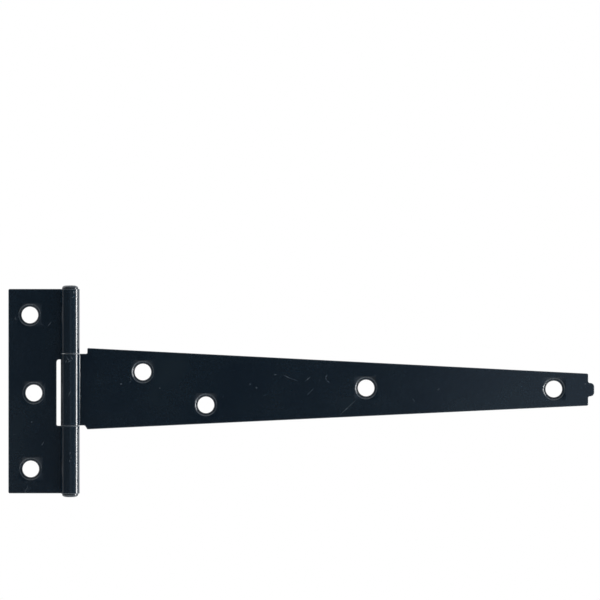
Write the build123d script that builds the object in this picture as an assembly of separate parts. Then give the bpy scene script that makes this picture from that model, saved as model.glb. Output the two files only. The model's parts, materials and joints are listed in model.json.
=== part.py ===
from build123d import *
import os

# A light tee hinge: an upright plate, a long tapered strap and a headed pin.
# Millimetres. +Z is up along the pin, +X runs out along the strap, -Y is the front.
# The backs of both leaves lie in the plane y = 0, the face of the post and the gate.
# The origin is on that plane, at the centre of the fixed plate's flat.

# ---- driving dimensions ----------------------------------------------------------

SHEET = 1.20
PIN_RADIUS = 1.50
PIN_CLEARANCE = 0.05

PLATE_HEIGHT = 59.3
PLATE_CORNER_RADIUS = 0.4
PIN_TO_PLATE_EDGE = 18.0
PIN_TO_NOTCH_EDGE = 4.05
PIN_TO_NOTCH_TAB = 2.55
NOTCH_TAB_HEIGHT = 1.75
TAB_GAP = 0.15
PLATE_CURL_DEG = 292

KNUCKLE_HEIGHT = 20.8
KNUCKLE_END_PLAY = 0.08
STRAP_CENTRE_Z = 0.44
STRAP_CURL_DEG = 266
SHOULDER_REACH = 4.9
SHOULDER_HEIGHT = 23.6
SHOULDER_SLANT = 0.7
SHOULDER_RISE = 0.27
SHOULDER_ROOT_RADIUS = 0.45

TIP_REACH = 152.0
TIP_SHOULDER_REACH = 150.25
TIP_SHOULDER_HEIGHT = 9.3
TIP_CORNER_RADIUS = 0.4
NUB_HEIGHT = 3.9
NUB_NOSE_RADIUS = 1.15
NUB_ROOT_RADIUS = 0.5

SCREW_HOLE_RADIUS = 2.40
COUNTERSINK_RADIUS = 3.20
COUNTERSINK_DEPTH = 0.80

PIN_HEAD_RADIUS = 2.35
PIN_HEAD_HEIGHT = 1.05
PIN_HEAD_RIM = 0.20
PIN_SHOULDER_POINT = (2.02, 0.68)
PIN_CROWN_RADIUS = 1.20

# Screw holes: (distance out from the pin line, height above the plate's middle).
PLATE_HOLES = [(-11.80, 22.10), (-10.65, -0.55), (-11.55, -22.60)]
STRAP_HOLES = [(21.0, 5.55), (39.3, -4.00), (85.8, 0.90), (140.3, 0.60)]

# ---- values that follow ----------------------------------------------------------

KNUCKLE_BORE_RADIUS = PIN_RADIUS + PIN_CLEARANCE
KNUCKLE_RADIUS = KNUCKLE_BORE_RADIUS + SHEET
NOTCH_HEIGHT = KNUCKLE_HEIGHT + 2 * KNUCKLE_END_PLAY
PLATE_FLAT_CENTRE = (PIN_TO_PLATE_EDGE + PIN_TO_NOTCH_EDGE) / 2

# Each piece is drawn about the pin line and then moved by PIN_PLACE. Until then the
# pin is on the Z axis, and a leaf's flat lies between y = FRONT and y = BACK.
PIN_PLACE = Pos(PLATE_FLAT_CENTRE, -KNUCKLE_RADIUS, 0)
BACK = KNUCKLE_RADIUS
FRONT = KNUCKLE_BORE_RADIUS


def rolled_leaf(side, reach, curl_deg, height):
    """A sheet that lies flat from reach to the pin line and is rolled round the pin."""
    with BuildSketch() as section:
        with BuildLine():
            outer = CenterArc((0, 0), KNUCKLE_RADIUS, 90, side * curl_deg)
            inner = CenterArc((0, 0), KNUCKLE_BORE_RADIUS, 90, side * curl_deg)
            Line(outer @ 1, inner @ 1)
            Polyline(outer @ 0, (side * reach, BACK), (side * reach, FRONT), inner @ 0)
        make_face()
    return extrude(section.sketch, height / 2, both=True)


def rounded(face, corner, radius):
    """The face with its corner nearest to the given point rounded."""
    return fillet(face.vertices().sort_by_distance(corner)[0], radius)


def screw_hole(reach, z):
    """Cutter for a through hole with its countersink on the front."""
    shank = Cylinder(SCREW_HOLE_RADIUS, 4 * SHEET)
    seat = Pos(0, 0, SHEET - COUNTERSINK_DEPTH) * Cone(
        SCREW_HOLE_RADIUS,
        COUNTERSINK_RADIUS,
        COUNTERSINK_DEPTH,
        align=(Align.CENTER, Align.CENTER, Align.MIN),
    )
    return Location((reach, BACK, z), (90, 0, 0)) * (shank + seat)


def flat_cutter(corners, centre_z):
    """A prism through the sheet and the knuckles, from corners in the leaf's plane."""
    face = make_face(Polyline(*[(x, z + centre_z) for x, z in corners], close=True))
    return extrude(Plane.XZ * face, 2 * KNUCKLE_RADIUS, both=True)


def notch():
    """Room for the strap's knuckle, with a slit beside it and a tab at the slit's top."""
    half = NOTCH_HEIGHT / 2
    past = KNUCKLE_RADIUS + SHEET
    corners = [
        (-PIN_TO_NOTCH_EDGE, -half),
        (past, -half),
        (past, half),
        (-PIN_TO_NOTCH_TAB, half),
        (-PIN_TO_NOTCH_TAB, half - NOTCH_TAB_HEIGHT),
        (-PIN_TO_NOTCH_EDGE, half - NOTCH_TAB_HEIGHT),
    ]
    roll = Pos(0, 0, STRAP_CENTRE_Z) * Cylinder(KNUCKLE_RADIUS + TAB_GAP, NOTCH_HEIGHT)
    return flat_cutter(corners, STRAP_CENTRE_Z) + roll


def fixed_plate():
    """Upright flap with two knuckles, a notch between them and three screw holes."""
    plate = rolled_leaf(-1, PIN_TO_PLATE_EDGE, PLATE_CURL_DEG, PLATE_HEIGHT)
    outer_corners = plate.edges().filter_by(Axis.Y).group_by(Axis.X)[0]
    plate = fillet(outer_corners, PLATE_CORNER_RADIUS)
    plate -= notch()
    for reach, z in PLATE_HOLES:
        plate -= screw_hole(reach, z)
    return plate


def blade_outline():
    """Face of the strap's neck, tapered blade and end nub, in the leaf's plane."""
    half = SHOULDER_HEIGHT / 2
    neck = KNUCKLE_HEIGHT / 2
    tip = TIP_SHOULDER_HEIGHT / 2
    nub = NUB_HEIGHT / 2
    root = (SHOULDER_REACH, neck)
    outline = make_face(
        Polyline(
            (KNUCKLE_RADIUS, neck),
            root,
            (SHOULDER_REACH, SHOULDER_RISE + half),
            (TIP_SHOULDER_REACH, tip),
            (TIP_SHOULDER_REACH, nub),
            (TIP_REACH, nub),
            (TIP_REACH, -nub),
            (TIP_SHOULDER_REACH, -nub),
            (TIP_SHOULDER_REACH, -tip),
            (SHOULDER_REACH, SHOULDER_RISE - half),
            (SHOULDER_REACH - SHOULDER_SLANT, -neck),
            (KNUCKLE_RADIUS, -neck),
            close=True,
        )
    )
    outline = rounded(outline, root, SHOULDER_ROOT_RADIUS)
    for side in (-1, 1):
        outline = rounded(outline, (TIP_REACH, side * nub), NUB_NOSE_RADIUS)
        outline = rounded(outline, (TIP_SHOULDER_REACH, side * nub), NUB_ROOT_RADIUS)
        outline = rounded(outline, (TIP_SHOULDER_REACH, side * tip), TIP_CORNER_RADIUS)
    return outline


def strap_leaf():
    """Long tapered strap with one knuckle, four screw holes and an end nub."""
    roll = rolled_leaf(1, SHOULDER_REACH - SHOULDER_SLANT, STRAP_CURL_DEG, KNUCKLE_HEIGHT)
    blade = extrude(Plane.XZ * blade_outline(), SHEET)
    strap = Pos(0, 0, STRAP_CENTRE_Z) * (roll + Pos(0, BACK, 0) * blade)
    for reach, z in STRAP_HOLES:
        strap -= screw_hole(reach, z)
    return strap


def pin_head():
    """The hammered-over end of the pin: a short rim, a round shoulder, a flat crown."""
    rim = (PIN_HEAD_RADIUS, PIN_HEAD_RIM)
    crown = (PIN_CROWN_RADIUS, PIN_HEAD_HEIGHT)
    with BuildSketch() as profile:
        with BuildLine():
            ThreePointArc(rim, PIN_SHOULDER_POINT, crown)
            Polyline(crown, (0, PIN_HEAD_HEIGHT), (0, 0), (PIN_HEAD_RADIUS, 0), rim)
        make_face()
    return revolve(Plane.XZ * profile.sketch, Axis.Z)


def hinge_pin():
    """Straight pin with a head at each end, each seated on the end of a knuckle."""
    end = Pos(0, 0, PLATE_HEIGHT / 2) * pin_head()
    return Cylinder(PIN_RADIUS, PLATE_HEIGHT) + end + mirror(end, Plane.XY)


PIECES = {
    "fixed_plate": fixed_plate,
    "strap_leaf": strap_leaf,
    "hinge_pin": hinge_pin,
}

os.makedirs("parts", exist_ok=True)
for node, make_piece in PIECES.items():
    export_step(PIN_PLACE * make_piece(), f"parts/{node}.step")
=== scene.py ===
import json
import math

import bmesh
import bpy
from mathutils import Matrix, Vector, noise


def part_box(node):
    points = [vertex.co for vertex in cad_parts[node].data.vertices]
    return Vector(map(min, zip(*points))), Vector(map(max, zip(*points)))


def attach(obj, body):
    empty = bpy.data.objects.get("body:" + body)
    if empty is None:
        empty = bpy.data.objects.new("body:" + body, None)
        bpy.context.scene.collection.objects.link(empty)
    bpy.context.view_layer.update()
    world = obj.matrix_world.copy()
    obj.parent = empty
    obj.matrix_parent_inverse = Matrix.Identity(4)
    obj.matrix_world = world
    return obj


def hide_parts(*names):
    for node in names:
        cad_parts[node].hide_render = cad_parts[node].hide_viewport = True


bl_info = {
    "name": "Light Tee Hinge",
    "version": (1, 0, 0),
    "blender": (4, 5, 0),
    "location": "3D View > Sidebar > Tee Hinge",
    "description": "Makes a light tee hinge: rolled plate, tapered strap and headed pin",
    "category": "Object",
}

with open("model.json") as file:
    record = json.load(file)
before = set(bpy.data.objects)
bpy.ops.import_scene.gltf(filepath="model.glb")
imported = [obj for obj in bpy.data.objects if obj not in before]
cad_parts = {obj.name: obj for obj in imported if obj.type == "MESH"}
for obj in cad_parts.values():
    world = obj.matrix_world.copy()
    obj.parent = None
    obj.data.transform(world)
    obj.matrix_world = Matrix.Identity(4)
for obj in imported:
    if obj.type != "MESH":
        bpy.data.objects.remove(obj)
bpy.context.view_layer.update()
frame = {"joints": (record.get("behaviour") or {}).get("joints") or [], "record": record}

MM = 0.001
PIN_LINE = Vector(frame["joints"][0]["pos_m"]) / MM
PLATE_LOW, PLATE_HIGH = (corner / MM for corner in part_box("fixed_plate"))
STRAP_LOW, STRAP_HIGH = (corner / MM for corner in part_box("strap_leaf"))
PIN_TOP = (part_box("hinge_pin")[1] / MM).z
SCREWS = {
    mount["name"]: Vector(mount["pos_m"]) / MM
    for mount in frame["record"]["mounts"]
    if mount["kind"] == "bore"
}
SCREW_RADIUS = next(
    mount["dims"]["r_mm"] for mount in frame["record"]["mounts"] if mount["kind"] == "bore"
)

# How the sheet is worked: lengths in millimetres, angles in radians.
SMALL_ROUND = 0.32      # radius left on a blank's sheared corners
SLIT_FOOT_ROUND = 0.4   # radius in the slit's lower corner
TAB_ROUND = 0.3         # radius of the small tab's lower corner
SHOULDER_ROUND = 0.5    # radius in the root of the strap's lower shoulder
ROUND_STEPS = 6         # segments round a blank's corner
RIM_STEPS = 4           # segments round a sheared edge
HOLE_STEPS = 72         # segments round a screw hole
CELL_MARGIN = 0.35      # from a screw hole's mouth to the edge of its square cell
CUT_CLEAR = 0.02        # from a cut to the strip inside an edge
LIP_STEP = 0.04         # spacing of the cuts across the strap's lip
SHARP = 1.0             # an edge with more than this between its faces is a sheared rim
TINY = 1e-4             # closer than this is the same place
WAVE_TURN = 0.9         # waves of the rolled wall for each radian of roll
WAVE_LENGTH = 5.5       # length of those waves along the pin
WAVE_START = 0.6        # the roll's first part, where the waves set in
PLATE_SEED = 3.1        # picks the plate's waves
STRAP_SEED = 8.4        # picks the strap's waves


# ---- small helpers ---------------------------------------------------------------

def linear_from_hex(code):
    """An sRGB hex colour as the linear RGBA that Blender works in."""
    channels = [int(code[i:i + 2], 16) / 255 for i in (1, 3, 5)]
    linear = [c / 12.92 if c <= 0.04045 else ((c + 0.055) / 1.055) ** 2.4 for c in channels]
    return (*linear, 1.0)


def add_node(tree, kind, inputs=None, **settings):
    """Adds one node, sets its properties, and sets or links its inputs.

    A colour Mix node takes its share at input 0 and its colours at 6 and 7, and gives
    the mix at output 2.
    """
    node = tree.nodes.new(kind)
    for key, value in settings.items():
        setattr(node, key, value)
    for key, value in (inputs or {}).items():
        if isinstance(value, bpy.types.NodeSocket):
            tree.links.new(value, node.inputs[key])
        else:
            node.inputs[key].default_value = value
    return node


def length(name, description, default_mm):
    """A size property, given in millimetres and kept in metres."""
    return bpy.props.FloatProperty(
        name=name, description=description, default=default_mm * MM,
        min=0.0, unit="LENGTH", precision=5,
    )


def angle(name, description, default_degrees):
    """An angle property, given in degrees and kept in radians."""
    return bpy.props.FloatProperty(
        name=name, description=description, default=math.radians(default_degrees),
        subtype="ANGLE",
    )


def colour(name, description, code):
    """A colour property from an sRGB hex value."""
    return bpy.props.FloatVectorProperty(
        name=name, description=description, default=linear_from_hex(code),
        subtype="COLOR", size=4, min=0.0, max=1.0,
    )


def share(name, description, default):
    """A plain number property from 0 to 1."""
    return bpy.props.FloatProperty(
        name=name, description=description, default=default, min=0.0, max=1.0, precision=3,
    )


# ---- what a user may change ------------------------------------------------------

class TeeHingeSheet(bpy.types.PropertyGroup):
    """Sizes shared by both leaves."""

    thickness: length("Sheet", "Thickness of the steel sheet", 1.20)
    roll_radius: length("Roll radius", "Outer radius of the knuckles", -PIN_LINE.y)
    roll_step: length("Roll step", "Spacing of the cuts round a knuckle", 0.18)
    roll_row: length("Roll row", "Spacing of the cuts along a knuckle", 0.9)
    straight_end: length("Straight end", "Last part of the plate's roll, unbent", 0.68)
    roll_waviness: length("Waviness", "How far the rolled wall wanders inward", 0.012)
    edge_round: length("Edge round", "Rounding of the sheared edges under the enamel", 0.11)
    rim_strip: length("Rim strip", "Width of the face strip kept along every edge", 0.25)
    seat_radius: length("Seat radius", "Radius of the countersink at the face", 3.20)
    seat_lip: length("Seat lip", "Width of the rolled-over lip round a countersink", 0.10)
    seat_depth: length("Seat depth", "Depth of the countersink", 0.80)


class TeeHingePlate(bpy.types.PropertyGroup):
    """Sizes of the fixed plate."""

    curl: angle("Curl", "How far the knuckles are rolled", 292)
    corner: length("Corner", "Radius of the outer corners", 0.4)
    slit_reach: length("Slit reach", "From the pin line to the slit's far edge", 4.05)
    tab_reach: length("Tab reach", "From the pin line to the small tab's end", 2.55)
    tab_height: length("Tab height", "Height of the small tab above the slit", 1.75)
    end_play: length("End play", "Gap at each end of the middle knuckle", 0.08)
    slit_round: length("Slit round", "Radius in the slit's upper corner", 0.75)


class TeeHingeStrap(bpy.types.PropertyGroup):
    """Sizes of the strap."""

    curl: angle("Curl", "How far the knuckle is rolled", 255)
    lip: length("Lip", "Last part of the roll, which the press has bent outward", 0.43)
    lip_radius: length("Lip radius", "How tightly the lip is bent", 0.50)
    lip_twist: length("Lip twist", "How much longer the lip is at its top", 0.10)
    knuckle_height: length("Knuckle height", "Height of the middle knuckle", 20.8)
    shoulder_reach: length("Shoulder reach", "From the pin line to the shoulders", 4.9)
    shoulder_slant: length("Shoulder slant", "Slope of the lower shoulder", 0.7)
    shoulder_rise: length("Shoulder rise", "Shoulders' middle above the knuckle's", 0.27)
    shoulder_root: length("Shoulder root", "Radius in the upper shoulder's root", 0.45)
    tip_shoulder: length("Tip shoulder", "From the nub's end back to the blade's end", 1.75)
    tip_height: length("Tip height", "Height of the blade at its end", 9.3)
    tip_corner: length("Tip corner", "Radius of the blade's end corners", 0.4)
    nub_height: length("Nub height", "Height of the nub", 3.9)
    nub_nose: length("Nub nose", "Radius of the nub's corners", 1.15)
    nub_root: length("Nub root", "Radius where the nub meets the blade", 0.5)


class TeeHingePin(bpy.types.PropertyGroup):
    """Sizes of the pin."""

    radius: length("Radius", "Radius of the shank", 1.5)
    head_radius: length("Head radius", "Radius of the hammered heads", 2.35)
    head_rim: length("Head rim", "Straight rim under the dome", 0.2)


class TeeHingeFinish(bpy.types.PropertyGroup):
    """Colours and gloss of the black stoved enamel."""

    deep: colour("Deep", "Enamel where it lies thick and even", "#0f1c28")
    thin: colour("Thin", "Enamel where it lies thin or hazy", "#17252e")
    dust: colour("Dust", "Specks of dust and dry spray in the enamel", "#7e868c")
    rubbed: colour("Rubbed", "Scuffs and fine scratches", "#6c757c")
    bare: colour("Bare", "Edges and crowns where the enamel is worn thin", "#59626a")
    roughness: share("Roughness", "Roughness of the even enamel", 0.12)


class TeeHingeStage(bpy.types.PropertyGroup):
    """Camera, floor and surroundings."""

    lens: bpy.props.FloatProperty(
        name="Lens", description="Focal length in millimetres", default=300.0,
    )
    frame_width: length("Frame width", "Width that the view takes in", 174.09)
    aim_x: length("Aim along", "Middle of the view along the strap", 77.64)
    aim_z: length("Aim up", "Middle of the view above the hinge's middle", 26.45)
    floor_drop: length("Floor drop", "Floor below the hinge's middle", 250.0)
    paper: colour("Paper", "Pale floor", "#f1f1ef")
    sweep: colour("Sweep", "White screen behind and above the hinge", "#f9fafc")
    ahead: colour("Ahead", "Dark middle of the room in front", "#212429")
    aside: colour("Aside", "Rest of the room in front", "#4d5052")


# ---- enamel ----------------------------------------------------------------------

# Handling marks on each leaf: (x, z, half length, half width, turn in degrees), in
# millimetres in the hinge's own frame.
PLATE_MARKS = [
    (5.0, 19.5, 0.9, 0.14, 50),
    (3.0, -15.2, 0.7, 0.14, 60),
    (12.2, 28.6, 0.45, 0.16, 80),
    (11.9, 27.2, 0.35, 0.14, 20),
    (11.1, -17.9, 0.35, 0.14, 60),
    (11.4, -19.2, 0.30, 0.12, 10),
    (11.0, -20.2, 0.35, 0.12, 75),
]
STRAP_MARKS = [
    (91.6, -4.7, 3.5, 0.11, 43),
    (79.9, 3.5, 1.05, 0.14, 40),
    (80.6, -0.2, 1.35, 0.10, 45),
    (73.9, 4.15, 1.30, 0.09, -26),
    (75.9, 3.35, 1.25, 0.09, -18),
    (70.5, 4.8, 0.6, 0.13, 12),
    (85.3, 4.4, 0.55, 0.11, 55),
    (85.2, 3.6, 0.55, 0.11, -75),
    (85.8, 2.8, 0.50, 0.11, -30),
    (63.1, 2.0, 0.30, 0.18, 0),
    (117.8, 0.5, 0.50, 0.13, 35),
    (160.4, 2.1, 0.30, 0.20, 0),
    (25.8, 2.1, 0.35, 0.22, 0),
    (10.9, -0.7, 1.0, 0.14, 68),
    (13.9, -1.3, 0.35, 0.35, 0),
    (10.4, 9.5, 0.9, 0.15, -50),
    (11.0, 8.7, 0.7, 0.15, 25),
    (11.7, 9.6, 0.6, 0.14, -60),
    (9.9, 8.6, 0.5, 0.14, 70),
]


MARK_CORE = 0.35        # share of a mark's half size that is fully rubbed


def handling_marks(tree, millimetres, marks):
    """Adds the masks of the listed scratches, each soft at its ends."""
    total = None
    for x, z, half_length, half_width, turn in marks:
        centred = add_node(tree, "ShaderNodeVectorMath",
                           {0: millimetres, 1: (x, 0.0, z)}, operation="SUBTRACT")
        turned = add_node(tree, "ShaderNodeVectorRotate",
                          {"Vector": centred.outputs[0], "Angle": math.radians(turn)},
                          rotation_type="Y_AXIS")
        along = add_node(tree, "ShaderNodeSeparateXYZ", {0: turned.outputs[0]})
        fade = []
        for output, half in ((0, half_length), (2, half_width)):
            size = add_node(tree, "ShaderNodeMath", {0: along.outputs[output]},
                            operation="ABSOLUTE")
            inside = add_node(tree, "ShaderNodeMapRange",
                              {"Value": size.outputs[0], "From Min": half * MARK_CORE,
                               "From Max": half, "To Min": 1.0, "To Max": 0.0})
            fade.append(inside.outputs[0])
        mark = add_node(tree, "ShaderNodeMath", {0: fade[0], 1: fade[1]},
                        operation="MULTIPLY")
        if total is None:
            total = mark.outputs[0]
        else:
            total = add_node(tree, "ShaderNodeMath", {0: total, 1: mark.outputs[0]},
                             operation="MAXIMUM").outputs[0]
    return total


def stoved_enamel(name, finish, marks=()):
    """Black stoving enamel dipped over pressed steel.

    It gives the eye a blue-black, glossy skin with a faint orange peel, a haze that is
    uneven over centimetres, sparse dust nibs, short scuffs from handling, and a lighter,
    rubbed line along every sheared edge.
    """
    material = bpy.data.materials.new(name)
    material.use_nodes = True
    tree = material.node_tree
    tree.nodes.clear()
    place = add_node(tree, "ShaderNodeTexCoord")
    scaled = add_node(tree, "ShaderNodeMapping",
                      {"Vector": place.outputs["Object"], "Scale": (1000, 1000, 1000)})
    mm = scaled.outputs[0]

    # Haze: cloudy over about 25 mm, with a finer cloud of 4 mm in it.
    haze = add_node(tree, "ShaderNodeTexNoise",
                    {"Vector": mm, "Scale": 1 / 25, "Detail": 3.0, "Roughness": 0.55})
    haze_share = add_node(tree, "ShaderNodeMapRange",
                          {"Value": haze.outputs["Fac"], "From Min": 0.25, "From Max": 0.85,
                           "To Max": 0.6}, interpolation_type="SMOOTHSTEP")
    skin = add_node(tree, "ShaderNodeMix",
                    {0: haze_share.outputs[0], 6: finish.deep, 7: finish.thin},
                    data_type="RGBA")

    # Grain of the dried enamel, about 0.5 mm across.
    grain = add_node(tree, "ShaderNodeTexNoise",
                     {"Vector": mm, "Scale": 1 / 0.55, "Detail": 2.0, "Roughness": 0.6})
    grain_share = add_node(tree, "ShaderNodeMapRange",
                           {"Value": grain.outputs["Fac"], "From Min": 0.52,
                            "From Max": 0.80, "To Max": 0.45})
    grained = add_node(tree, "ShaderNodeMix",
                       {0: grain_share.outputs[0], 6: skin.outputs[2], 7: finish.thin},
                       data_type="RGBA")

    # Dust nibs: one cell in five holds a speck, of up to a quarter of a millimetre.
    cells = add_node(tree, "ShaderNodeTexVoronoi", {"Vector": mm, "Scale": 1 / 3.1})
    chosen = add_node(tree, "ShaderNodeSeparateColor", {0: cells.outputs["Color"]})
    reach = add_node(tree, "ShaderNodeMapRange",
                     {"Value": chosen.outputs[0], "From Min": 0.80, "From Max": 1.0,
                      "To Min": 0.0, "To Max": 0.085})
    nib = add_node(tree, "ShaderNodeMath",
                   {0: reach.outputs[0], 1: cells.outputs["Distance"]},
                   operation="SUBTRACT")
    nib_share = add_node(tree, "ShaderNodeMapRange",
                         {"Value": nib.outputs[0], "From Min": 0.0, "From Max": 0.03,
                          "To Max": 0.5})

    # Scuffs: broken, curved hairlines, on a few patches only.
    bent = add_node(tree, "ShaderNodeTexNoise",
                    {"Vector": mm, "Scale": 1 / 4.0, "Detail": 1.0})
    pushed = add_node(tree, "ShaderNodeVectorMath",
                      {0: bent.outputs["Color"], 1: (5.0, 5.0, 5.0)}, operation="MULTIPLY")
    moved = add_node(tree, "ShaderNodeVectorMath",
                     {0: mm, 1: pushed.outputs[0]}, operation="ADD")
    lines = add_node(tree, "ShaderNodeTexVoronoi",
                     {"Vector": moved.outputs[0], "Scale": 1 / 6.5},
                     feature="DISTANCE_TO_EDGE")
    line = add_node(tree, "ShaderNodeMapRange",
                    {"Value": lines.outputs["Distance"], "From Min": 0.004,
                     "From Max": 0.018, "To Min": 1.0, "To Max": 0.0})
    patch = add_node(tree, "ShaderNodeTexNoise",
                     {"Vector": mm, "Scale": 1 / 3.4, "Detail": 2.0})
    patch_share = add_node(tree, "ShaderNodeMapRange",
                           {"Value": patch.outputs["Fac"], "From Min": 0.68,
                            "From Max": 0.80, "To Max": 0.45})
    scuff = add_node(tree, "ShaderNodeMath",
                     {0: line.outputs[0], 1: patch_share.outputs[0]}, operation="MULTIPLY")
    rubbed_share = scuff.outputs[0]
    if marks:
        struck = handling_marks(tree, mm, marks)
        broken = add_node(tree, "ShaderNodeMapRange",
                          {"Value": grain.outputs["Fac"], "From Min": 0.35,
                           "From Max": 0.62, "To Min": 0.15, "To Max": 0.6})
        listed = add_node(tree, "ShaderNodeMath",
                          {0: struck, 1: broken.outputs[0]}, operation="MULTIPLY")
        rubbed_share = add_node(tree, "ShaderNodeMath",
                                {0: rubbed_share, 1: listed.outputs[0]},
                                operation="MAXIMUM").outputs[0]

    # Wear: the rims and crowns carry an attribute, broken up by the grain.
    wear = add_node(tree, "ShaderNodeAttribute", attribute_name="wear")
    wear_share = add_node(tree, "ShaderNodeMath",
                          {0: wear.outputs["Fac"], 1: grain.outputs["Fac"]},
                          operation="MULTIPLY")
    worn = add_node(tree, "ShaderNodeMix",
                    {0: wear_share.outputs[0], 6: grained.outputs[2], 7: finish.bare},
                    data_type="RGBA")
    scuffed = add_node(tree, "ShaderNodeMix",
                       {0: rubbed_share, 6: worn.outputs[2], 7: finish.rubbed},
                       data_type="RGBA")
    dusted = add_node(tree, "ShaderNodeMix",
                      {0: nib_share.outputs[0], 6: scuffed.outputs[2], 7: finish.dust},
                      data_type="RGBA")

    # Gloss: smoother where the enamel lies thick, duller in the haze and the scuffs.
    gloss = add_node(tree, "ShaderNodeMapRange",
                     {"Value": haze.outputs["Fac"], "From Min": 0.2, "From Max": 0.9,
                      "To Min": finish.roughness, "To Max": finish.roughness + 0.06})
    scratched = add_node(tree, "ShaderNodeMath",
                         {0: rubbed_share, 1: 0.25, 2: gloss.outputs[0]},
                         operation="MULTIPLY_ADD")
    dull = add_node(tree, "ShaderNodeMath",
                    {0: wear_share.outputs[0], 1: 0.35, 2: scratched.outputs[0]},
                    operation="MULTIPLY_ADD")

    # Orange peel, about 1.4 mm from crest to crest and a few microns deep.
    peel = add_node(tree, "ShaderNodeTexNoise",
                    {"Vector": mm, "Scale": 1 / 1.4, "Detail": 1.0, "Roughness": 0.4})
    raised = add_node(tree, "ShaderNodeMath",
                      {0: nib_share.outputs[0], 1: 0.8, 2: peel.outputs["Fac"]},
                      operation="MULTIPLY_ADD")
    bump = add_node(tree, "ShaderNodeBump",
                    {"Height": raised.outputs[0], "Strength": 0.35, "Distance": 0.00002})
    shader = add_node(tree, "ShaderNodeBsdfPrincipled",
                      {"Base Color": dusted.outputs[2], "Roughness": dull.outputs[0],
                       "Normal": bump.outputs[0], "IOR": 1.52, "Metallic": 0.0})
    add_node(tree, "ShaderNodeOutputMaterial", {"Surface": shader.outputs[0]})
    return material


# ---- working the sheet -----------------------------------------------------------
# A leaf is made as its maker makes it: a flat blank in the plane y = 0 is cut out,
# pierced, given its thickness and its rounded edges, countersunk, and last rolled.
# The blank is drawn about the pin line, x out from it and z up, in millimetres.

def blank(corners, rounds, strip):
    """Flat face from its corners, each rounded as asked, with a strip inside its edge."""
    bm = bmesh.new()
    bm.verts.layers.float.new("wear")
    verts = [bm.verts.new((x, 0, z)) for x, z in corners]
    face = bm.faces.new(verts)
    for vert, radius in zip(verts, rounds):
        edges = vert.link_edges
        opening = (edges[0].other_vert(vert).co - vert.co).angle(
            edges[1].other_vert(vert).co - vert.co)
        bmesh.ops.bevel(
            bm, geom=[vert], affect="VERTICES", offset=radius / math.tan(opening / 2),
            segments=ROUND_STEPS, profile=0.5, material=-1,
        )
    face = bm.faces[:][0]
    bm.normal_update()
    if face.normal.y < 0:
        face.normal_flip()
    bmesh.ops.inset_region(bm, faces=[face], thickness=strip, use_even_offset=True,
                           use_boundary=True)
    return bm


def unique(items):
    """The items once each and in the order met, which a set wouldn't keep."""
    return list(dict.fromkeys(items))


def rows(stops, step):
    """The stops and evenly spaced values between them, no further apart than step."""
    values = []
    for low, high in zip(stops, stops[1:]):
        count = max(1, math.ceil((high - low) / step))
        values += [low + (high - low) * i / count for i in range(count)]
    return values + [stops[-1]]


def slice_sheet(bm, axis, values, faces=None):
    """Cuts the flat sheet, or only the given part of it, along straight lines."""
    normal = Vector((1, 0, 0)) if axis == 0 else Vector((0, 0, 1))
    for value in values:
        chosen = [f for f in bm.faces if faces is None or faces(f)]
        geom = chosen + unique(e for f in chosen for e in f.edges)
        geom += unique(v for f in chosen for v in f.verts)
        bmesh.ops.bisect_plane(bm, geom=geom, plane_co=normal * value, plane_no=normal,
                               dist=TINY)


def pierce(bm, centres, radius):
    """Opens a round hole in a square cell of the sheet round each centre."""
    half = radius + CELL_MARGIN
    for x, z in centres:
        slice_sheet(bm, 0, (x - half, x + half))
    for x, z in centres:
        slice_sheet(bm, 2, (z - half, z + half),
                    lambda face: abs(face.calc_center_median().x - x) < half)
    for x, z in centres:
        cell = [f for f in bm.faces if abs(f.calc_center_median().x - x) < half
                and abs(f.calc_center_median().z - z) < half]
        # Dissolving a single face gives back nothing, so that one is taken as it is.
        whole = cell
        if len(cell) > 1:
            whole = bmesh.ops.dissolve_faces(bm, faces=cell)["region"]
        border = unique(e for f in whole for e in f.edges)
        bmesh.ops.delete(bm, geom=whole, context="FACES_ONLY")
        turn = Matrix.Translation((x, 0, z)) @ Matrix.Rotation(math.radians(90), 4, "X")
        ring = bmesh.ops.create_circle(bm, cap_ends=False, segments=HOLE_STEPS,
                                       radius=radius, matrix=turn)
        edges = unique(e for v in ring["verts"] for e in v.link_edges)
        bmesh.ops.triangle_fill(bm, use_beauty=True, use_dissolve=False,
                                edges=border + edges, normal=(0, 1, 0))


def extruded(bm, loop):
    """Extrudes a loop of edges in place and gives the new vertices and edges."""
    made = bmesh.ops.extrude_edge_only(bm, edges=loop)["geom"]
    verts = [g for g in made if isinstance(g, bmesh.types.BMVert)]
    edges = [g for g in made if isinstance(g, bmesh.types.BMEdge)
             and all(v in verts for v in g.verts)]
    return verts, edges


def hole_ring(bm, centre, radius, y):
    """The edges of a hole's rim on one side of the sheet."""
    middle = Vector((centre[0], y, centre[1]))

    def on_ring(vert):
        return abs(vert.co.y - y) < 1e-3 and abs((vert.co - middle).length - radius) < 0.02

    return [e for e in bm.edges if on_ring(e.verts[0]) and on_ring(e.verts[1])]


def round_rims(bm, sheet, holes, radius):
    """Rounds the long edges of the sheet, but not those of the holes."""
    def at_hole(edge):
        middle = (edge.verts[0].co + edge.verts[1].co) / 2
        return any(Vector((middle.x - x, middle.z - z)).length < radius + 0.05
                   for x, z in holes)

    walls = [f for f in bm.faces if abs(f.normal.y) < 0.5 and not
             any(at_hole(e) for e in f.edges)]
    rims = unique(e for f in walls for e in f.edges
                  if len(e.link_faces) == 2 and e.calc_face_angle() > SHARP)
    made = bmesh.ops.bevel(
        bm, geom=rims, affect="EDGES", offset=sheet.edge_round / MM, segments=RIM_STEPS,
        profile=0.5, material=-1, loop_slide=True,
    )
    layer = bm.verts.layers.float["wear"]
    for vert in unique(v for f in made["faces"] for v in f.verts):
        vert[layer] = 1.0


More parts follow.
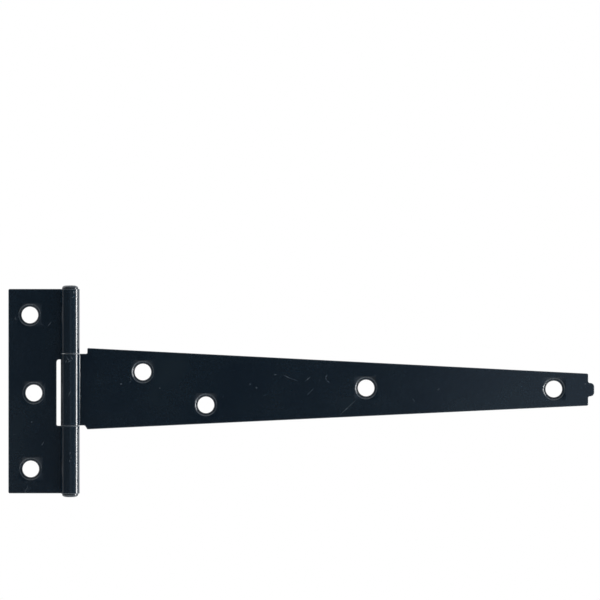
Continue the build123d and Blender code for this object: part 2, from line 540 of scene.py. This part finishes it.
def sink(bm, sheet, centre, radius):
    """Countersinks a hole: its front rim is drawn in and down, then joined to the back."""
    thickness = sheet.thickness / MM
    layer = bm.verts.layers.float["wear"]
    front = hole_ring(bm, centre, radius, -thickness)
    back = hole_ring(bm, centre, radius, 0)
    walls = [f for f in bm.faces if abs(f.normal.y) < 0.5 and
             any(e in front for e in f.edges)]
    bmesh.ops.delete(bm, geom=walls, context="FACES_ONLY")
    about = Matrix.Translation((-centre[0], 0, -centre[1]))

    def draw(verts, old, new, down):
        bmesh.ops.scale(bm, vec=(new / old, 1, new / old), space=about, verts=verts)
        bmesh.ops.translate(bm, verts=verts, vec=(0, down, 0))

    seat = sheet.seat_radius / MM
    depth = sheet.seat_depth / MM
    bore = SCREW_RADIUS
    steps = [  # radius, depth below the face, wear
        (seat + 0.03, 0.008, 0.5),
        (seat - 0.04, 0.05, 1.0),
        (seat - 0.11, 0.115, 0.6),
        (seat - 0.30, 0.30, 0.25),
        (bore + 0.08, depth - 0.06, 0.0),
        (bore + 0.02, depth + 0.02, 0.2),
        (bore, depth + 0.10, 0.1),
        (bore, thickness - 0.10, 0.0),
        (bore + 0.03, thickness - 0.03, 0.6),
    ]
    loop, old_radius, old_depth = front, radius, 0.0
    for new_radius, new_depth, wear in steps:
        verts, loop = extruded(bm, loop)
        draw(verts, old_radius, new_radius, new_depth - old_depth)
        for vert in verts:
            vert[layer] = wear
        old_radius, old_depth = new_radius, new_depth
    back_verts = unique(v for e in back for v in e.verts)
    draw(back_verts, radius, bore + 0.10, 0)
    bmesh.ops.bridge_loops(bm, edges=loop + back)


def work_sheet(bm, sheet, holes, mouth):
    """Thickens the blank towards the front, rounds its rims and countersinks its holes."""
    bmesh.ops.solidify(bm, geom=bm.faces[:], thickness=sheet.thickness / MM)
    bmesh.ops.recalc_face_normals(bm, faces=bm.faces[:])
    round_rims(bm, sheet, holes, mouth)
    for hole in holes:
        sink(bm, sheet, hole, mouth)


def roll_up(bm, sheet, bend, side, seed, lip_radius=math.inf):
    """Rolls what lies past the pin line round the pin, towards the front.

    side is 1 where the tongue leaves the pin line along +X and -1 along -X.
    What is left of the tongue after the bend stays straight, or is bent outward as a
    lip of the given radius.
    """
    radius = sheet.roll_radius / MM
    for vert in bm.verts:
        run = vert.co.x * side
        if run <= 1e-6:
            continue
        turn = min(run / radius, bend)
        past = run - turn * radius
        along = vert.co.z
        wander = 0.5 + 0.5 * noise.noise((turn * WAVE_TURN, along / WAVE_LENGTH, seed))
        wander *= sheet.roll_waviness / MM * min(1.0, turn / WAVE_START)
        depth = vert.co.y - wander
        if past > 1e-6 and lip_radius < math.inf:
            lean = turn - past / lip_radius
            far, near = radius + lip_radius, lip_radius - depth
            vert.co.x = side * (far * math.sin(turn) - near * math.sin(lean))
            vert.co.y = far * math.cos(turn) - near * math.cos(lean) - radius
        else:
            distance = radius + depth
            vert.co.x = side * (distance * math.sin(turn) + past * math.cos(turn))
            vert.co.y = distance * math.cos(turn) - past * math.sin(turn) - radius


def finished(bm, name, material, at):
    """Turns a blank in millimetres into a piece in the hinge's frame, in metres."""
    bmesh.ops.dissolve_degenerate(bm, dist=TINY, edges=bm.edges[:])
    bmesh.ops.recalc_face_normals(bm, faces=bm.faces[:])
    bmesh.ops.translate(bm, verts=bm.verts[:], vec=at)
    bmesh.ops.scale(bm, verts=bm.verts[:], vec=(MM, MM, MM))
    for face in bm.faces:
        face.smooth = True
    mesh = bpy.data.meshes.new(name)
    bm.to_mesh(mesh)
    bm.free()
    piece = bpy.data.objects.new(name, mesh)
    bpy.context.scene.collection.objects.link(piece)
    mesh.materials.append(material)
    flatten = piece.modifiers.new("Even flats", "WEIGHTED_NORMAL")
    flatten.weight = 60
    return piece


def screw_places(prefix, middle=0.0):
    """Where one leaf's screw holes are, about the pin line and the given height."""
    return [((place - PIN_LINE).x, place.z - middle)
            for name, place in SCREWS.items() if name.startswith(prefix)]


def knuckle_middle(strap):
    """Height of the middle of the strap's knuckle."""
    return (STRAP_HIGH.z + STRAP_LOW.z) / 2 - strap.shoulder_rise / MM


# ---- operators -------------------------------------------------------------------

class TEEHINGE_OT_fixed_plate(bpy.types.Operator):
    """Makes the upright plate with its two rolled knuckles and three countersunk holes."""

    bl_idname = "tee_hinge.fixed_plate"
    bl_label = "Fixed Plate"

    def execute(self, context):
        scene = context.scene
        sheet, plate = scene.tee_hinge_sheet, scene.tee_hinge_plate
        strap = scene.tee_hinge_strap
        edge = PLATE_LOW.x - PIN_LINE.x
        top, foot = PLATE_HIGH.z, PLATE_LOW.z
        middle = knuckle_middle(strap)
        half_notch = strap.knuckle_height / MM / 2 + plate.end_play / MM
        notch_top, notch_foot = middle + half_notch, middle - half_notch
        slit, tab = -plate.slit_reach / MM, -plate.tab_reach / MM
        slit_top = notch_top - plate.tab_height / MM
        end = plate.curl * sheet.roll_radius / MM
        strip = sheet.rim_strip / MM
        corners = [
            (edge, foot), (end, foot), (end, notch_foot), (slit, notch_foot),
            (slit, slit_top), (tab, slit_top), (tab, notch_top), (end, notch_top),
            (end, top), (edge, top),
        ]
        outer, small = plate.corner / MM, SMALL_ROUND
        rounds = [
            outer, small, small, SLIT_FOOT_ROUND,
            plate.slit_round / MM, TAB_ROUND, small, small,
            small, outer,
        ]
        bm = blank(corners, rounds, strip)
        holes = screw_places("plate_screw")
        mouth = (sheet.seat_radius + sheet.seat_lip) / MM
        pierce(bm, holes, mouth)
        slice_sheet(bm, 0, rows([0, end - strip - CUT_CLEAR], sheet.roll_step / MM))

        def rolled(face):
            return face.calc_center_median().x > 0

        for low, high in ((foot, notch_foot), (notch_top, top)):
            values = rows([low + strip, high - strip], sheet.roll_row / MM)[1:-1]
            slice_sheet(bm, 2, values, rolled)
        work_sheet(bm, sheet, holes, mouth)
        bend = plate.curl - sheet.straight_end / sheet.roll_radius
        roll_up(bm, sheet, bend, 1, PLATE_SEED)
        enamel = stoved_enamel("stoved black enamel on the plate", scene.tee_hinge_finish,
                               PLATE_MARKS)
        piece = finished(bm, "fixed_plate_enamelled", enamel, (PIN_LINE.x, 0, 0))
        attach(piece, "plate")
        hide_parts("fixed_plate")
        return {"FINISHED"}


class TEEHINGE_OT_strap(bpy.types.Operator):
    """Makes the long tapered strap with its rolled knuckle, four holes and end nub."""

    bl_idname = "tee_hinge.strap"
    bl_label = "Strap"

    def execute(self, context):
        scene = context.scene
        sheet, strap = scene.tee_hinge_sheet, scene.tee_hinge_strap
        rise = strap.shoulder_rise / MM
        middle = knuckle_middle(strap)
        half = (STRAP_HIGH.z - STRAP_LOW.z) / 2
        neck = strap.knuckle_height / MM / 2
        reach = strap.shoulder_reach / MM
        slant = strap.shoulder_slant / MM
        nose = STRAP_HIGH.x - PIN_LINE.x
        blade_end = nose - strap.tip_shoulder / MM
        tip, nub = strap.tip_height / MM / 2, strap.nub_height / MM / 2
        lip = strap.lip / MM
        end = strap.curl * sheet.roll_radius / MM + lip
        skew = strap.lip_twist / MM / 2
        strip = sheet.rim_strip / MM
        corners = [
            (-end + skew, -neck), (reach - slant, -neck), (reach, rise - half),
            (blade_end, -tip), (blade_end, -nub), (nose, -nub), (nose, nub),
            (blade_end, nub), (blade_end, tip), (reach, rise + half), (reach, neck),
            (-end - skew, neck),
        ]
        nub_nose, nub_root = strap.nub_nose / MM, strap.nub_root / MM
        tip_corner, small = strap.tip_corner / MM, SMALL_ROUND
        rounds = [
            small, SHOULDER_ROUND, small,
            tip_corner, nub_root, nub_nose, nub_nose,
            nub_root, tip_corner, small, strap.shoulder_root / MM,
            small,
        ]
        bm = blank(corners, rounds, strip)
        holes = screw_places("strap_screw", middle)
        mouth = (sheet.seat_radius + sheet.seat_lip) / MM
        pierce(bm, holes, mouth)
        slice_sheet(bm, 0, rows([lip - end, 0], sheet.roll_step / MM))
        lip_rows = rows([-end + skew + strip + CUT_CLEAR, lip - end], LIP_STEP)
        slice_sheet(bm, 0, lip_rows[:-1])

        def rolled(face):
            return face.calc_center_median().x < 0

        values = rows([-neck + strip, neck - strip], sheet.roll_row / MM)[1:-1]
        slice_sheet(bm, 2, values, rolled)
        work_sheet(bm, sheet, holes, mouth)
        roll_up(bm, sheet, strap.curl, -1, STRAP_SEED, strap.lip_radius / MM)
        enamel = stoved_enamel("stoved black enamel on the strap", scene.tee_hinge_finish,
                               STRAP_MARKS)
        piece = finished(bm, "strap_leaf_enamelled", enamel, (PIN_LINE.x, 0, middle))
        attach(piece, "strap")
        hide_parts("strap_leaf")
        return {"FINISHED"}


# Hammer blows on each head: (degrees round the pin, degrees off its line, depth in mm).
BLOWS = [(20, 34, 0.10), (95, 41, 0.13), (150, 30, 0.09), (215, 38, 0.14), (285, 33, 0.10),
         (340, 47, 0.11), (60, 9, 0.05), (240, 12, 0.06)]
BLOW_SHARE = 0.9        # how much of the metal above a blow is pushed down
BLOW_FOOT = 0.02        # the metal this near to the rim stays, in millimetres
CROWN_FLATNESS = 1.7    # 1 is a ball, more is flatter
HEAD_TURNS, HEAD_RINGS = 80, 48
RIM_WEAR = 0.3


class TEEHINGE_OT_pin(bpy.types.Operator):
    """Makes the pin with a hammered head at each end."""

    bl_idname = "tee_hinge.pin"
    bl_label = "Pin"

    def execute(self, context):
        scene = context.scene
        pin = scene.tee_hinge_pin
        radius, head, rim = pin.radius / MM, pin.head_radius / MM, pin.head_rim / MM
        seat = PLATE_HIGH.z
        dome = PIN_TOP - seat - rim
        bm = bmesh.new()
        layer = bm.verts.layers.float.new("wear")
        # One head: a squashed half ball, drawn down to a rim and in to the shank.
        ball = bmesh.ops.create_uvsphere(bm, u_segments=HEAD_TURNS, v_segments=HEAD_RINGS,
                                         radius=1.0)
        bmesh.ops.scale(bm, vec=(head, head, dome), verts=ball["verts"])
        bmesh.ops.bisect_plane(bm, geom=bm.verts[:] + bm.edges[:] + bm.faces[:],
                               plane_co=(0, 0, 0), plane_no=(0, 0, 1), clear_inner=True)
        # Hammering flattens the crown and fills out the shoulder.
        for vert in bm.verts:
            vert.co.z = dome * (1 - max(0.0, 1 - vert.co.z / dome) ** CROWN_FLATNESS)
        for turn, lean, depth in BLOWS:
            round_pin, off_line = math.radians(turn), math.radians(lean)
            out = Vector((math.sin(off_line) * math.cos(round_pin),
                          math.sin(off_line) * math.sin(round_pin),
                          math.cos(off_line)))
            limit = max(v.co.dot(out) for v in bm.verts) - depth
            for vert in bm.verts:
                over = vert.co.dot(out) - limit
                if over > 0 and vert.co.z > BLOW_FOOT:
                    vert.co -= out * over * BLOW_SHARE
        for vert in bm.verts:
            vert[layer] = max(0.0, vert.co.z / dome) ** 2
        loop = [e for e in bm.edges if e.is_boundary]
        steps = [  # radius, how far down
            (head, rim - 0.08),
            (head - 0.03, 0.05),
            (head - 0.10, 0.03),
            (radius, 0.0),
            (radius, seat),
        ]
        for new_radius, down in steps:
            verts, loop = extruded(bm, loop)
            old = verts[0].co.xy.length
            bmesh.ops.scale(bm, vec=(new_radius / old, new_radius / old, 1), verts=verts)
            bmesh.ops.translate(bm, verts=verts, vec=(0, 0, -down))
            for vert in verts:
                vert[layer] = RIM_WEAR
        bmesh.ops.translate(bm, verts=bm.verts[:], vec=(0, 0, seat + rim))
        # The lower half is the upper one turned over, so the blows aren't mirrored.
        half = bm.verts[:] + bm.edges[:] + bm.faces[:]
        copy = bmesh.ops.duplicate(bm, geom=half)["geom"]
        lower = [g for g in copy if isinstance(g, bmesh.types.BMVert)]
        bmesh.ops.rotate(bm, verts=lower, cent=(0, 0, 0),
                         matrix=Matrix.Rotation(math.radians(180), 3, "X"))
        bmesh.ops.remove_doubles(bm, verts=bm.verts[:], dist=1e-3)
        enamel = stoved_enamel("stoved black enamel on the pin", scene.tee_hinge_finish)
        piece = finished(bm, "hinge_pin_hammered", enamel, (PIN_LINE.x, PIN_LINE.y, 0))
        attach(piece, "plate")
        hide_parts("hinge_pin")
        return {"FINISHED"}


SENSOR_WIDTH = 36.0     # millimetres
FLOOR_RADIUS = 2.6      # metres

# Name, degrees from the front towards the strap, metres from the pin line, width and
# height in metres, radiance, colour.
LIGHTS = [
    ("strip beside the strap", 89.5, 0.62, (0.085, 0.60), 34.0, "#ffffff"),
    ("panel beside the strap", 74.0, 0.75, (0.12, 0.60), 2.0, "#ffffff"),
    ("panel before the tip", 10.3, 1.47, (0.22, 0.90), 0.54, "#d4e8ff"),
    ("panel before the plate", -8.0, 1.48, (0.11, 0.90), 0.45, "#d4e8ff"),
]


class TEEHINGE_OT_stage(bpy.types.Operator):
    """Sets the camera, the pale floor, the surroundings and the soft lights."""

    bl_idname = "tee_hinge.stage"
    bl_label = "Stage"

    def execute(self, context):
        scene = context.scene
        stage = scene.tee_hinge_stage
        scene.view_settings.view_transform = "Standard"
        self.camera(scene, stage)
        self.floor(scene, stage)
        self.surroundings(scene, stage)
        self.lights(scene)
        return {"FINISHED"}

    def camera(self, scene, stage):
        data = bpy.data.cameras.new("Camera")
        data.lens = stage.lens
        data.sensor_width = SENSOR_WIDTH
        data.clip_start, data.clip_end = 0.01, 20.0
        camera = bpy.data.objects.new("Camera", data)
        scene.collection.objects.link(camera)
        # The view is as wide as asked at the front faces of the leaves.
        distance = stage.frame_width * stage.lens / SENSOR_WIDTH
        distance += scene.tee_hinge_sheet.thickness
        camera.location = (stage.aim_x, -distance, stage.aim_z)
        camera.rotation_euler = (math.radians(90), 0, 0)
        scene.camera = camera

    def floor(self, scene, stage):
        bm = bmesh.new()
        bmesh.ops.create_circle(bm, cap_ends=True, segments=96, radius=FLOOR_RADIUS)
        bmesh.ops.translate(bm, verts=bm.verts[:], vec=(0, 0, -stage.floor_drop))
        mesh = bpy.data.meshes.new("floor")
        bm.to_mesh(mesh)
        bm.free()
        floor = bpy.data.objects.new("floor", mesh)
        scene.collection.objects.link(floor)
        paper = bpy.data.materials.new("matte white paper")
        paper.use_nodes = True
        shader = paper.node_tree.nodes["Principled BSDF"]
        shader.inputs["Base Color"].default_value = stage.paper
        shader.inputs["Roughness"].default_value = 0.9
        mesh.materials.append(paper)

    def surroundings(self, scene, stage):
        """A white sweep behind the hinge and a dim room in front of it."""
        world = bpy.data.worlds.new("studio")
        scene.world = world
        world.use_nodes = True
        tree = world.node_tree
        tree.nodes.clear()
        place = add_node(tree, "ShaderNodeTexCoord")
        axes = add_node(tree, "ShaderNodeSeparateXYZ", {0: place.outputs["Generated"]})
        behind = add_node(tree, "ShaderNodeMapRange",
                          {"Value": axes.outputs[1], "From Min": -0.02, "From Max": 0.10},
                          interpolation_type="SMOOTHSTEP")
        above = add_node(tree, "ShaderNodeMapRange",
                         {"Value": axes.outputs[2], "From Min": 0.35, "From Max": 0.75},
                         interpolation_type="SMOOTHSTEP")
        white = add_node(tree, "ShaderNodeMath",
                         {0: behind.outputs[0], 1: above.outputs[0]}, operation="MAXIMUM")
        aside = add_node(tree, "ShaderNodeMapRange",
                         {"Value": axes.outputs[1], "From Min": -0.99, "From Max": -0.93},
                         interpolation_type="SMOOTHSTEP")
        front = add_node(tree, "ShaderNodeMix",
                         {0: aside.outputs[0], 6: stage.ahead, 7: stage.aside},
                         data_type="RGBA")
        room = add_node(tree, "ShaderNodeMix",
                        {0: white.outputs[0], 6: front.outputs[2], 7: stage.sweep},
                        data_type="RGBA")
        path = add_node(tree, "ShaderNodeLightPath")
        seen = add_node(tree, "ShaderNodeMix",
                        {0: path.outputs["Is Camera Ray"], 6: room.outputs[2],
                         7: linear_from_hex("#ffffff")}, data_type="RGBA")
        sky = add_node(tree, "ShaderNodeBackground",
                       {"Color": seen.outputs[2], "Strength": 1.0})
        add_node(tree, "ShaderNodeOutputWorld", {"Surface": sky.outputs[0]})

    def lights(self, scene):
        for name, turn, away, size, glow, tint in LIGHTS:
            data = bpy.data.lights.new(name, "AREA")
            data.shape = "RECTANGLE"
            data.size, data.size_y = size
            data.energy = glow * math.pi * size[0] * size[1]
            data.color = linear_from_hex(tint)[:3]
            light = bpy.data.objects.new(name, data)
            scene.collection.objects.link(light)
            out = Vector((math.sin(math.radians(turn)), -math.cos(math.radians(turn)), 0))
            light.location = PIN_LINE * MM + out * away
            light.rotation_mode = "QUATERNION"
            light.rotation_quaternion = out.to_track_quat("Z", "Y")


class VIEW3D_PT_tee_hinge(bpy.types.Panel):
    """Lists the hinge's pieces and their sizes."""

    bl_label = "Tee Hinge"
    bl_idname = "VIEW3D_PT_tee_hinge"
    bl_space_type = "VIEW_3D"
    bl_region_type = "UI"
    bl_category = "Tee Hinge"

    def draw(self, context):
        for group, operator in SECTIONS:
            box = self.layout.box()
            settings = getattr(context.scene, group)
            for key in settings.bl_rna.properties.keys():
                if key not in ("rna_type", "name"):
                    box.prop(settings, key)
            if operator:
                box.operator(operator)


# ---- running it ------------------------------------------------------------------

GROUPS = {
    "tee_hinge_sheet": TeeHingeSheet,
    "tee_hinge_plate": TeeHingePlate,
    "tee_hinge_strap": TeeHingeStrap,
    "tee_hinge_pin": TeeHingePin,
    "tee_hinge_finish": TeeHingeFinish,
    "tee_hinge_stage": TeeHingeStage,
}
SECTIONS = [
    ("tee_hinge_sheet", None),
    ("tee_hinge_plate", "tee_hinge.fixed_plate"),
    ("tee_hinge_strap", "tee_hinge.strap"),
    ("tee_hinge_pin", "tee_hinge.pin"),
    ("tee_hinge_finish", None),
    ("tee_hinge_stage", "tee_hinge.stage"),
]
CLASSES = [*GROUPS.values(), TEEHINGE_OT_fixed_plate, TEEHINGE_OT_strap, TEEHINGE_OT_pin,
           TEEHINGE_OT_stage, VIEW3D_PT_tee_hinge]


def register():
    for cls in CLASSES:
        bpy.utils.register_class(cls)
    for key, group in GROUPS.items():
        setattr(bpy.types.Scene, key, bpy.props.PointerProperty(type=group))


def unregister():
    for key in GROUPS:
        delattr(bpy.types.Scene, key)
    for cls in reversed(CLASSES):
        bpy.utils.unregister_class(cls)


def main():
    register()
    bpy.ops.tee_hinge.fixed_plate()
    bpy.ops.tee_hinge.strap()
    bpy.ops.tee_hinge.pin()
    bpy.ops.tee_hinge.stage()


if __name__ == "__main__":
    main()
